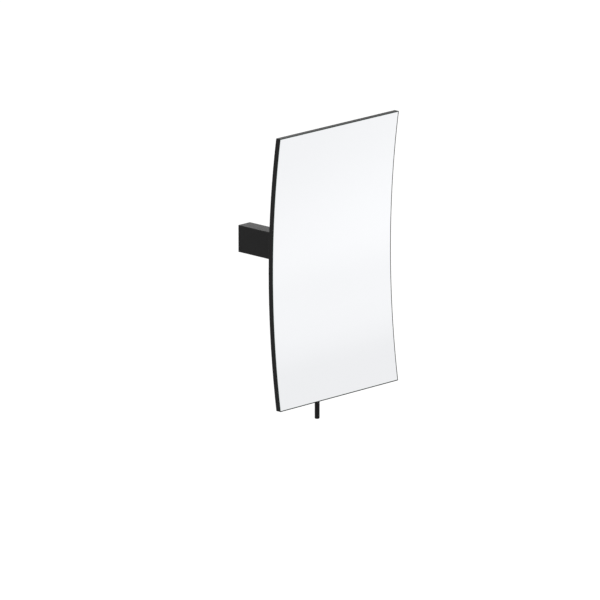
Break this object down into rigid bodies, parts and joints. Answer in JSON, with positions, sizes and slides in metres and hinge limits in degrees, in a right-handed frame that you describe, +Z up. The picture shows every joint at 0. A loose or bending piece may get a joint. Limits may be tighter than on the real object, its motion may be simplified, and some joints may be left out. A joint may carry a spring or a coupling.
{
  "type": "extendable shaving mirror",
  "caption": "Wall-mounted shaving mirror: a tall, gently curved mirror in a thin tray on a telescopic arm that tilts and swings, with a rod handle below.",
  "frame": {"origin": "centre of the wall bracket's back face, on the wall", "axes": "+Y into the wall, +Z up, +X to the right as seen from the room; the mirror faces -Y"},
  "size_m": [0.2, 0.1572, 0.3628],
  "materials": {
    "arm_paint": "matte",
    "tray_paint": "matte",
    "rod_paint": "satin",
    "tube_finish": "satin",
    "zinc_casting": "satin",
    "bare_steel": "satin",
    "black_screw": "satin",
    "glide_plastic": "matte",
    "washer_plastic": "matte",
    "foam_pad": "matte",
    "mirror_face": "polished"
  },
  "bodies": {
    "wall_arm": {"wall_bracket": "zinc_casting", "sleeve_lock_screws": "black_screw", "outer_sleeve": "arm_paint", "sleeve_front_glide": "glide_plastic"},
    "middle_stage": {"middle_tube": "tube_finish", "middle_rear_glide": "glide_plastic", "middle_front_glide": "glide_plastic"},
    "inner_stage": {"inner_arm_tube": "tube_finish", "inner_rear_glide": "glide_plastic", "arm_end_fitting": "tube_finish", "arm_end_pins": "bare_steel"},
    "tilting_head": {"tilt_head": "arm_paint", "tilt_pin": "black_screw", "tilt_pin_nut": "black_screw", "tilt_friction_washers": "washer_plastic", "upper_bush": "glide_plastic", "lower_bush": "glide_plastic"},
    "mirror": {"handle_rod": "rod_paint", "rod_retaining_ring": "bare_steel", "mirror_yoke": "arm_paint", "yoke_grub_screws": "black_screw", "back_tray": "tray_paint", "tray_studs": "bare_steel", "stud_washers": "bare_steel", "stud_nuts": "bare_steel", "adhesive_pads": "foam_pad", "mirror_glass": "mirror_face"}
  },
  "joints": [
    {"name": "middle_slide", "type": "slide", "parent": "wall_arm", "child": "middle_stage", "axis": [0, -1, 0], "range_m": [0, 0.05]},
    {"name": "inner_slide", "type": "slide", "parent": "middle_stage", "child": "inner_stage", "axis": [0, -1, 0], "range_m": [0, 0.05]},
    {"name": "tilt", "type": "hinge", "parent": "inner_stage", "child": "tilting_head", "pos_m": [0, -0.1052, 0], "axis": [1, 0, 0], "range_deg": [-25, 25]},
    {"name": "swivel", "type": "hinge", "parent": "tilting_head", "child": "mirror", "pos_m": [0, -0.1204, 0], "axis": [0, 0, 1], "range_deg": [-85, 85]}
  ]
}
